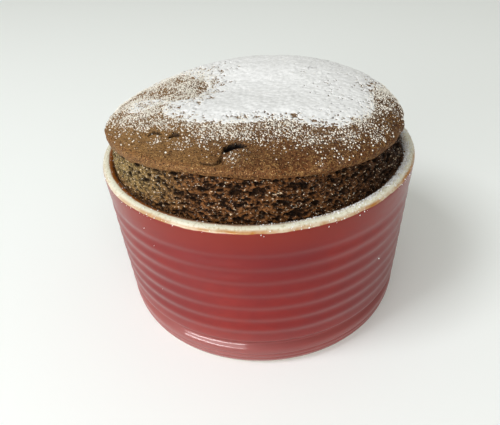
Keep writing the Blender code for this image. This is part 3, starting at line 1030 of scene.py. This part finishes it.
def make_sugar_grains(tree, material):
    """Loose grains: thick in the belt where the drift thins out, a few down the front of the crust."""
    points, faces, x, y, tear = crown_patch(SCATTER_CELL)
    cover = sugar_cover(x, y)
    clumps = np.clip(1.0 + 1.5 * layered_noise(points, 2.4 * MM, 91, 3), 0.08, 2.6)
    amount = cover * (1.0 - 0.85 * smoothstep(0.48, 0.68, cover)) * clumps * (tear < 0.3)
    settings = {
        "Grains per square metre": 1.45e7, "Smallest": 0.17 * MM, "Largest": 0.62 * MM,
        "Sides": 4, "Seed": 4,
    }
    return scatter("icing_sugar_grains", points, faces, amount, tree, settings, material)


def make_rim_sugar(tree, material):
    """Sugar that fell past the crust onto the right of the rim, with a few grains down the wall."""
    lip_radii = (LIP_THICKNESS / 2.0 + 0.05 * MM, LIP_RISE + 0.05 * MM)
    lip = ellipse_arc((RIM_RADIUS - LIP_THICKNESS / 2.0, LIP_MIDDLE), lip_radii, 165.0, 5.0, 8)
    wall = [(outer_wall(height * MM) + 0.02 * MM, height * MM) for height in (50.0, 40.0, 25.0, 12.0)]
    points, faces, angle = ring_patch(lip + wall, 360)
    radius = np.hypot(points[:, 0], points[:, 1])
    right = smoothstep(-95.0, -40.0, angle) * (1.0 - smoothstep(25.0, 70.0, angle))
    inner = 1.0 - 0.97 * smoothstep(RIM_RADIUS - 2.4 * MM, RIM_RADIUS - 0.7 * MM, radius)
    on_lip = points[:, 2] > LIP_MIDDLE + 0.1 * MM
    patches = np.clip(1.0 + 1.3 * layered_noise(points, 4.0 * MM, 95, 2), 0.0, 2.4)
    amount = np.where(on_lip, (1.7 * right * inner + 0.03) * patches, 0.00007)
    settings = {
        "Grains per square metre": 1.1e7, "Smallest": 0.14 * MM, "Largest": 0.50 * MM,
        "Sides": 5, "Seed": 11,
    }
    return scatter("icing_sugar_on_rim", points, faces, amount, tree, settings, material)


def make_crumb_specks(crumb, tree, material):
    """Fine sugar caught on the moist crumb under the crust, scattered also as painted highlights that stand
    for the crumb's glints.
    """
    mesh = crumb.data
    points = np.empty(3 * len(mesh.vertices))
    mesh.vertices.foreach_get("co", points)
    points = points.reshape(-1, 3)
    pore = np.empty(len(points))
    mesh.attributes["pore"].data.foreach_get("value", pore)
    angle = np.degrees(np.arctan2(points[:, 1], points[:, 0]))
    front = smoothstep(-165.0, -125.0, angle) * (1.0 - smoothstep(-90.0, -20.0, angle))
    shown = (points[:, 2] > LIP_MIDDLE) & (np.hypot(points[:, 0], points[:, 1]) > 0.8 * CRUST_RADIUS)
    patches = np.clip(0.7 + 1.6 * layered_noise(points, 2.0 * MM, 97, 3), 0.0, 2.6)
    amount = (0.10 + front) * patches * np.clip(1.0 - pore, 0.0, 1.0) * shown
    settings = {
        "Grains per square metre": 0.55e6, "Smallest": 0.12 * MM, "Largest": 0.32 * MM,
        "Sides": 5, "Seed": 21,
    }
    faces = [tuple(polygon.vertices) for polygon in mesh.polygons]
    return scatter("sugar_and_glint_specks_on_crumb", points, faces, amount, tree, settings, material)


def make_rim_crumbs(tree, material):
    """Baked crumbs where the souffle meets the rim."""
    inner = inner_wall(LIP_MIDDLE)
    strip = [(inner - 1.3 * MM, LIP_MIDDLE + 0.9 * MM), (inner - 0.3 * MM, LIP_MIDDLE + 0.2 * MM)]
    strip.append((inner + 0.45 * MM, LIP_MIDDLE + 1.0 * MM))
    points, faces, angle = ring_patch(strip, 360)
    patches = np.clip(0.9 + 1.5 * layered_noise(points, 5.0 * MM, 99, 2), 0.05, 2.4)
    settings = {
        "Grains per square metre": 2.2e6, "Smallest": 0.25 * MM, "Largest": 0.95 * MM,
        "Sides": 5, "Seed": 31,
    }
    return scatter("baked_crumbs", points, faces, patches, tree, settings, material)


# ------------------------ stage
def make_floor(material):
    """A flat square table under the dish."""
    corners = [(-1.0, -1.0), (1.0, -1.0), (1.0, 1.0), (-1.0, 1.0)]
    points = [(x * FLOOR_SIZE, y * FLOOR_SIZE, 0.0) for x, y in corners]
    make_object("floor", points, [(0, 1, 2, 3)], material, smooth=False)


def make_lights():
    """Soft rectangular lights that face the dish, in a pale room."""
    for name, place, width, height, power, colour in LIGHTS:
        data = bpy.data.lights.new(name, "AREA")
        data.shape = "RECTANGLE"
        data.size = width
        data.size_y = height
        data.energy = power
        data.color = linear(colour)[:3]
        light = bpy.data.objects.new(name, data)
        light.location = place
        light.rotation_euler = (LIGHTS_AIM - light.location).to_track_quat("-Z", "Y").to_euler()
        # the window shows only as streaks in the glaze and glints in the crumb
        light.visible_diffuse = name != "window"
        bpy.context.scene.collection.objects.link(light)
    world = bpy.data.worlds.new("soft_room")
    bpy.context.scene.world = world
    world.use_nodes = True
    background = {"Color": linear(ROOM_COLOUR), "Strength": ROOM_STRENGTH}
    connect(world.node_tree, world.node_tree.nodes["Background"], background)


def make_camera():
    """The camera at its place, aimed at the dish and rolled a little."""
    data = bpy.data.cameras.new("camera")
    data.lens = LENS_MM
    data.sensor_width = SENSOR_MM
    data.clip_start = 0.01
    back = (CAMERA_PLACE - CAMERA_AIM).normalized()
    right = Vector((0.0, 0.0, 1.0)).cross(back).normalized()
    up = back.cross(right)
    cos_roll, sin_roll = math.cos(CAMERA_ROLL), math.sin(CAMERA_ROLL)
    rolled_right = right * cos_roll - up * sin_roll
    rolled_up = right * sin_roll + up * cos_roll
    camera = bpy.data.objects.new("camera", data)
    turn = Matrix((rolled_right, rolled_up, back)).transposed().to_4x4()
    camera.matrix_world = Matrix.Translation(CAMERA_PLACE) @ turn
    bpy.context.scene.collection.objects.link(camera)
    bpy.context.scene.camera = camera


def main():
    """Set the stage, then make each piece, say what it rides on, and hide the imported parts that the new
    ones replace.
    """
    make_camera()
    make_lights()
    make_floor(pale_floor())
    bpy.context.scene.view_settings.view_transform = "Standard"

    ramekin = make_ramekin(glazed_stoneware())
    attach(ramekin, "root")
    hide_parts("ramekin")

    crust = make_crust(baked_crust())
    crumb = make_crumb(open_crumb())
    for piece in (crust, crumb):
        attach(piece, "root")
        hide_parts("souffle")

    drift = icing_sugar("sifted_icing_sugar", "#D6D6D6", "#EDEDED")
    grain = icing_sugar("icing_sugar_grains", "#DAD5C9", "#EFEAE0")
    tree = grain_tree()
    loose = [make_sugar_layer(drift), make_sugar_grains(tree, grain), make_rim_sugar(tree, drift)]
    loose += [make_crumb_specks(crumb, tree, grain), make_rim_crumbs(tree, loose_crumb())]
    for piece in loose:
        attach(piece, "root")


main()
